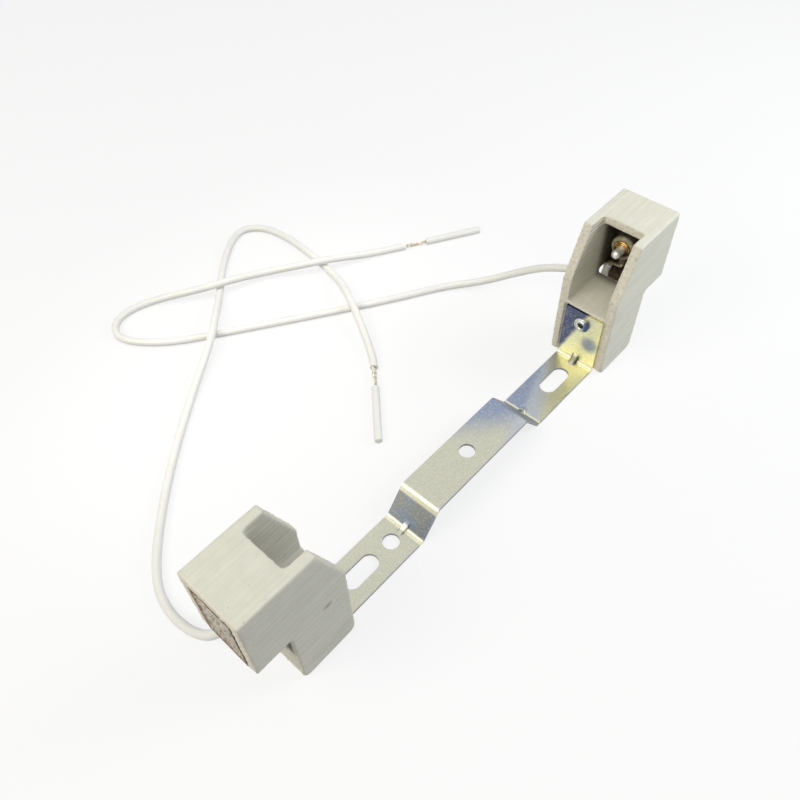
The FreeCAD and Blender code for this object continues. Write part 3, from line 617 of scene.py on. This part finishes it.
def sleeve_finish():
    """Tan ceramic, darker behind its mouth."""
    material, tree, shader, place = new_finish("sleeve_ceramic", 0.6)
    tones = ramp(tree, grain(tree, place, 900, 4.0),
                 [(0.3, (0.22, 0.20, 0.12)), (0.7, (0.40, 0.37, 0.25))])
    reach = node(tree, "SeparateXYZ", {"Vector": place}).outputs["X"]
    far = node(tree, "Math", {0: reach}, operation="ABSOLUTE").outputs[0]
    deeper_dark = node(tree, "MapRange", {"Value": far, "From Min": (SLEEVE_FACE + 0.3) * MM,
                                    "From Max": (SLEEVE_FACE + 1.1) * MM,
                                    "To Max": 0.9}).outputs["Result"]
    tree.links.new(mixed(tree, deeper_dark, tones, SLEEVE_DARK), shader.inputs["Base Color"])
    raised(tree, shader, grain(tree, place, 2600, 4.0), 0.04 * MM)
    return material


def bronze_finish():
    """Tarnished bronze, with painted shade below the contact's axis."""
    material, tree, shader, place = new_finish("eyelet_bronze", 0.25, 1.0)
    tones = ramp(tree, grain(tree, place, 1500, 3.0),
                 [(0.35, (0.30, 0.17, 0.06)), (0.65, (0.75, 0.50, 0.17))])
    below = drift(tree, place, (0, 0, -1), -CONTACT_HEIGHT - 0.6 * MM,
                  -CONTACT_HEIGHT + 0.6 * MM, 0.4 * MM)
    tree.links.new(mixed(tree, below, tones, BRONZE_SHADED), shader.inputs["Base Color"])
    return material


def silvered_finish():
    """Pale silver, a little tarnished."""
    material, tree, shader, place = new_finish("silvered_contact", 0.16, 0.5)
    tarnish = grain(tree, place, 1300, 4.0)
    tree.links.new(ramp(tree, tarnish, [(0.35, (0.76, 0.73, 0.66)), (0.6, (0.93, 0.92, 0.90))]),
                   shader.inputs["Base Color"])
    tree.links.new(ramp(tree, tarnish, [(0.35, 0.34), (0.65, 0.20)]),
                   shader.inputs["Roughness"])
    return material


def crimp_finish():
    """Ferrule coloured dark brown as painted shade."""
    material, tree, shader, place = new_finish("painted_shade_ferrule", 0.55, 0.8)
    tree.links.new(ramp(tree, grain(tree, place, 1500, 3.0),
                        [(0.35, (0.13, 0.09, 0.06)), (0.65, (0.30, 0.23, 0.16))]),
                   shader.inputs["Base Color"])
    return material


def spring_finish():
    """Drawn steel wire."""
    material, tree, shader, place = new_finish("spring_wire", 0.3, 1.0)
    tree.links.new(ramp(tree, grain(tree, place, 2000, 2.0),
                        [(0.4, (0.42, 0.42, 0.41)), (0.6, (0.62, 0.62, 0.60))]),
                   shader.inputs["Base Color"])
    return material


sleeve = sleeve_finish()
bronze = bronze_finish()
silvered = silvered_finish()
spring_steel = spring_finish()
shaded_ferrule = crimp_finish()
for side, sign in SIDES.items():
    body = side + "_contact"
    eyelet = ([(SLEEVE_FACE + 1.0, 1.20), (SLEEVE_FACE - 0.2, 1.20)]
              + arc((SLEEVE_FACE - 0.24, 1.45), 0.25, 270, 90, 8)
              + [(SLEEVE_FACE - 0.14, 1.66)]
              + arc((SLEEVE_FACE - 0.22, 1.98), 0.28, 230, 90, 8)
              + [(SLEEVE_FACE, 2.28), (SLEEVE_FACE, 1.55), (SLEEVE_FACE + 1.0, 1.55),
                 (SLEEVE_FACE + 1.0, 1.20)])
    new_piece(side + "_eyelet", lathe(eyelet, CONTACT_HEIGHT, sign), [bronze], "bronze",
              "holder_body", side + "_contact_collar")
    nose = ([(TIP_FACE, 0)] + arc((TIP_FACE + 1.0, 0.15), 1.0, 180, 90, 14)
            + [(TIP_FACE + 4.9, 1.15), (TIP_FACE + 4.9, 1.87), (TIP_FACE + 4.98, 1.95),
               (TIP_FACE + 6.72, 1.95), (TIP_FACE + 6.8, 1.87), (TIP_FACE + 6.8, 0.75),
               (TIP_FACE + 8.25, 0.75), (TIP_FACE + 8.4, 0.6), (TIP_FACE + 8.4, 0)])
    contact = lathe(nose, CONTACT_HEIGHT, sign)
    lug_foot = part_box(side + "_contact_plunger")[0].z
    lug_middle = Vector((sign * LUG_PLACE * MM, 0, (lug_foot + LUG_TOP) / 2))
    lug_size = (LUG_THICK, LUG_WIDE, LUG_TOP - lug_foot, 1.0)
    lug = bmesh.ops.create_cube(contact, size=1.0, matrix=Matrix.Translation(lug_middle)
                                @ Matrix.Diagonal(lug_size))
    lug_edges = list({edge for vert in lug["verts"] for edge in vert.link_edges})
    bmesh.ops.bevel(contact, geom=lug_edges, affect="EDGES", offset=0.1 * MM, segments=2,
                    profile=0.5, material=-1)
    new_piece(side + "_contact_pin", contact, [silvered], "silvered_contact", body,
              side + "_contact_plunger")
    coil = new_piece(side + "_return_spring", joined_copy(side + "_contact_spring"),
                     [spring_steel], "spring_wire", "holder_body", side + "_contact_spring")
    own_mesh(coil)
    for part, finish, slot in (("_contact_guide", sleeve, "guide_ceramic"),
                               ("_contact_crimp", shaded_ferrule, "silvered_contact")):
        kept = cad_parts[side + part]
        kept.data.materials.clear()
        kept.data.materials.append(finish)

# ---------------------------------------------------------------- leads
# A fine tinned core in a round cream insulation, 2.2 mm thick. Each leaves its chamber from
# below, bends down behind the foot and lies on the surface in one loose open loop. Its end
# is cut round and the cut piece pulled along, so that some strands lie bare.
LEAD_THICK = 2.2 * MM
# Heights of the routes' points: on the surface, between two crossings, and over a lead.
LOW = 1.15 * MM
SAG = 1.70 * MM
HIGH = 3.70 * MM
ROUTES = {
    "right": [
        (0.0629, 0.0042, 0.0214), (0.0629, 0.0042, 0.0168), (0.0633, 0.0077, 0.0136),
        (0.0634, 0.0136, 0.0144), (0.0610, 0.0222, 0.0116), (0.0588, 0.0300, 0.0063),
        (0.0537, 0.0375, 0.0022), (0.0457, 0.0454, LOW), (0.0322, 0.0531, LOW),
        (0.0124, 0.0658, LOW), (-0.0085, 0.0799, LOW), (-0.0206, 0.0880, LOW),
        (-0.0274, 0.0950, LOW), (-0.0312, 0.1019, LOW), (-0.0293, 0.1072, LOW),
        (-0.0241, 0.1096, LOW), (-0.0152, 0.1076, LOW), (-0.0044, 0.0979, HIGH),
        (0.0052, 0.0935, HIGH), (0.0148, 0.0906, SAG), (0.0235, 0.0822, HIGH),
        (0.0318, 0.0769, HIGH), (0.0418, 0.0725, LOW), (0.0516, 0.0667, LOW),
    ],
    "left": [
        (-0.0629, 0.0042, 0.0214), (-0.0629, 0.0042, 0.0168), (-0.0660, 0.0060, 0.0137),
        (-0.0692, 0.0086, 0.0101), (-0.0706, 0.0122, 0.0064), (-0.0715, 0.0177, 0.0024),
        (-0.0717, 0.0246, LOW), (-0.0694, 0.0323, LOW), (-0.0614, 0.0423, LOW),
        (-0.0462, 0.0568, LOW), (-0.0272, 0.0718, LOW), (-0.0156, 0.0788, HIGH),
        (-0.0087, 0.0853, HIGH), (-0.0016, 0.0931, LOW), (0.0073, 0.1026, LOW),
        (0.0164, 0.1099, LOW), (0.0232, 0.1127, LOW), (0.0284, 0.1089, LOW),
        (0.0304, 0.1008, LOW), (0.0302, 0.0903, LOW), (0.0279, 0.0737, LOW),
        (0.0231, 0.0638, HIGH), (0.0193, 0.0564, HIGH), (0.0113, 0.0420, LOW),
        (0.0086, 0.0392, LOW),
    ],
}
STRAND_THICK = 0.27 * MM
STRAND_TWIST = math.radians(300)
STRAND_STEPS = 30
# How many strands lie in each ring, and the ring's radius.
STRAND_RINGS = ((1, 0.0), (5, 0.25 * MM), (11, 0.50 * MM))
BARE_LENGTH = 6.9 * MM
STRAND_HIDDEN = 0.3 * MM
SLUG_LENGTH = 18 * MM


def insulation_finish():
    """Cream silicone with a soft shine."""
    material, tree, shader, place = new_finish("lead_insulation", 0.42)
    tree.links.new(ramp(tree, grain(tree, place, 420, 3.0),
                        [(0.35, (0.93, 0.92, 0.88)), (0.65, (0.95, 0.94, 0.90))]),
                   shader.inputs["Base Color"])
    shader.inputs["Coat Weight"].default_value = 0.15
    raised(tree, shader, grain(tree, place, 2200, 2.0), 0.006 * MM)
    return material


def strand_finish():
    """Tinned copper, its tin rubbed through in places."""
    material, tree, shader, place = new_finish("tinned_strands", 0.34, 1.0)
    tree.links.new(ramp(tree, grain(tree, place, 1100, 3.0),
                        [(0.35, (0.54, 0.48, 0.38)), (0.65, (0.88, 0.85, 0.76))]),
                   shader.inputs["Base Color"])
    return material


insulation = insulation_finish()
strand_metal = strand_finish()
for side, sign in SIDES.items():
    route = ROUTES[side]
    line = bpy.data.curves.new(side + "_flex", "CURVE")
    line.dimensions = "3D"
    spline = line.splines.new("NURBS")
    spline.points.add(len(route) - 1)
    for point, spot in zip(spline.points, route):
        point.co = (*spot, 1)
    spline.order_u = 3
    spline.use_endpoint_u = True
    spline.resolution_u = 16
    line.bevel_depth = LEAD_THICK / 2
    line.bevel_resolution = 6
    line.use_fill_caps = True
    line.materials.append(insulation)
    flex = bpy.data.objects.new(side + "_flex", line)
    bpy.context.scene.collection.objects.link(flex)
    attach(flex, "holder_body")
    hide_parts(side + "_lead")

    end = Vector(route[-1])
    heading = (end - Vector(route[-2])).normalized()
    lie = Matrix.Translation(end) @ heading.to_track_quat("Z", "Y").to_matrix().to_4x4()
    core = bmesh.new()
    for count, radius in STRAND_RINGS:
        for index in range(count):
            around = 2 * math.pi * index / count
            start = Matrix.Translation((radius * math.cos(around), radius * math.sin(around),
                                        -STRAND_HIDDEN))
            ring = bmesh.ops.create_circle(core, cap_ends=False, segments=8,
                                           radius=STRAND_THICK / 2, matrix=start)
            edges = list({edge for vert in ring["verts"] for edge in vert.link_edges})
            bmesh.ops.spin(core, geom=ring["verts"] + edges, cent=(0, 0, 0), axis=(0, 0, 1),
                           dvec=(0, 0, (BARE_LENGTH + 2 * STRAND_HIDDEN) / STRAND_STEPS),
                           angle=STRAND_TWIST, steps=STRAND_STEPS)
    bmesh.ops.recalc_face_normals(core, faces=core.faces)
    bmesh.ops.transform(core, verts=core.verts, matrix=lie)
    strands = new_piece(side + "_bare_strands", core, [strand_metal], "strand_copper",
                        "holder_body", side + "_lead_strands")

    cap = bmesh.new()
    bmesh.ops.create_cone(cap, cap_ends=True, cap_tris=False, segments=32,
                          radius1=LEAD_THICK / 2, radius2=LEAD_THICK / 2, depth=SLUG_LENGTH,
                          matrix=Matrix.Translation((0, 0, BARE_LENGTH + SLUG_LENGTH / 2)))
    rims = [edge for edge in cap.edges if len(edge.link_faces) == 2
            and edge.calc_face_angle() > math.radians(60)]
    bmesh.ops.bevel(cap, geom=rims, affect="EDGES", offset=0.5 * MM, segments=4,
                    profile=0.5, material=-1)
    bmesh.ops.transform(cap, verts=cap.verts, matrix=lie)
    slug = new_piece(side + "_slug", cap, [insulation], "lead_insulation",
                     "holder_body", side + "_tip_slug")
    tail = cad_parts[side + "_pigtail"]
    tail.data.materials.clear()
    tail.data.materials.append(strand_metal)

# ---------------------------------------------------------------- surface and light
# A plain white table. A large warm lamp beyond the left end, a cool one beside the right
# holder and a weak one overhead light it. One spot looks into the right holder's channel,
# and an oval one hangs over the leads.
TABLE_GLOW = 0.78
TABLE_WHITE = (0.98, 0.98, 0.98)
TABLE_SHADED = (0.45, 0.45, 0.44)


def looked_at(tree):
    """1 for rays from the camera and for mirrored rays, 0 for all others."""
    path = node(tree, "LightPath")
    return node(tree, "Math", {0: path.outputs["Is Camera Ray"],
                               1: path.outputs["Is Glossy Ray"]},
                operation="MAXIMUM").outputs[0]


def table_finish():
    """White that glows a little where it is seen, and bounces less light than it shows."""
    material, tree, shader, _ = new_finish("white_table", 0.8)
    white = looked_at(tree)
    tree.links.new(mixed(tree, white, TABLE_SHADED, TABLE_WHITE), shader.inputs["Base Color"])
    share = node(tree, "Math", {0: white, 1: TABLE_GLOW}, operation="MULTIPLY").outputs[0]
    glow = node(tree, "Emission", {"Color": (1, 1, 1, 1), "Strength": 1.0})
    both = node(tree, "MixShader", {0: share, 1: shader.outputs[0], 2: glow.outputs[0]})
    tree.links.new(both.outputs[0], tree.nodes["Material Output"].inputs["Surface"])
    return material


top = bmesh.new()
bmesh.ops.create_grid(top, x_segments=1, y_segments=1, size=1.5)
table_mesh = bpy.data.meshes.new("table")
top.to_mesh(table_mesh)
top.free()
table_mesh.materials.append(table_finish())
table = bpy.data.objects.new("table", table_mesh)
bpy.context.scene.collection.objects.link(table)

WARM = (1.0, 0.96, 0.84)
CREAM = (1.0, 0.98, 0.93)
COOL = (0.90, 0.95, 1.0)
# Place, size, power and colour.
LAMPS = {
    "key_lamp": ((0.24, -0.16, 0.19), 0.16, 0.50, COOL),
    "window_lamp": ((-0.32, 0.10, 0.34), 0.24, 0.95, WARM),
    "sky_lamp": ((0.05, 0.20, 0.60), 0.90, 0.5, WARM),
}
# Place, target, power, colour, cone in degrees, softness of its edge, and widening along X.
SPOTS = {
    "snoot_lamp": ((-0.04, -0.08, 0.15), (0.058, 0.0, 0.026), 0.22, WARM, 22, 1.0, 1.0),
    "leads_lamp": ((-0.005, 0.070, 0.60), (-0.005, 0.070, 0.0), 4.0, CREAM, 9.2, 0.35, 1.6),
}
SPOT_RADIUS = 0.03


def hung_lamp(name, kind, place, target, power, colour):
    """Lamp at its place, turned to its target."""
    lamp = bpy.data.lights.new(name, kind)
    lamp.energy = power
    lamp.color = colour
    hung = bpy.data.objects.new(name, lamp)
    hung.location = place
    hung.rotation_euler = (Vector(place) - Vector(target)).to_track_quat("Z", "Y").to_euler()
    bpy.context.scene.collection.objects.link(hung)
    return hung


for name, (place, size, power, colour) in LAMPS.items():
    hung_lamp(name, "AREA", place, (0, 0, 0), power, colour).data.size = size
for name, (place, target, power, colour, angle, blend, widened) in SPOTS.items():
    spot = hung_lamp(name, "SPOT", place, target, power, colour)
    spot.scale.x = widened
    spot.data.spot_size = math.radians(angle)
    spot.data.spot_blend = blend
    spot.data.shadow_soft_size = SPOT_RADIUS

ROOM_TINT = (0.91, 0.95, 1.0, 1)
ROOM_STRENGTH = 0.31
world = bpy.data.worlds.new("pale_room")
bpy.context.scene.world = world
world.use_nodes = True
room = world.node_tree
backdrop = room.nodes["Background"]
backdrop.inputs["Color"].default_value = ROOM_TINT
backdrop.inputs["Strength"].default_value = ROOM_STRENGTH
white = node(room, "Background", {"Color": (1, 1, 1, 1), "Strength": 1.0})
both = node(room, "MixShader", {0: looked_at(room), 1: backdrop.outputs[0],
                                2: white.outputs[0]})
room.links.new(both.outputs[0], room.nodes["World Output"].inputs["Surface"])

camera = bpy.data.objects.new("camera", bpy.data.cameras.new("camera"))
camera.data.lens = 34.32
camera.data.sensor_width = 36
camera.data.clip_start = 0.005
camera.location = (-0.0850, -0.0618, 0.1571)
camera.rotation_euler = [math.radians(turn) for turn in (38.852, 1.715, -47.700)]
bpy.context.scene.collection.objects.link(camera)
bpy.context.scene.camera = camera
bpy.context.scene.view_settings.view_transform = "Standard"
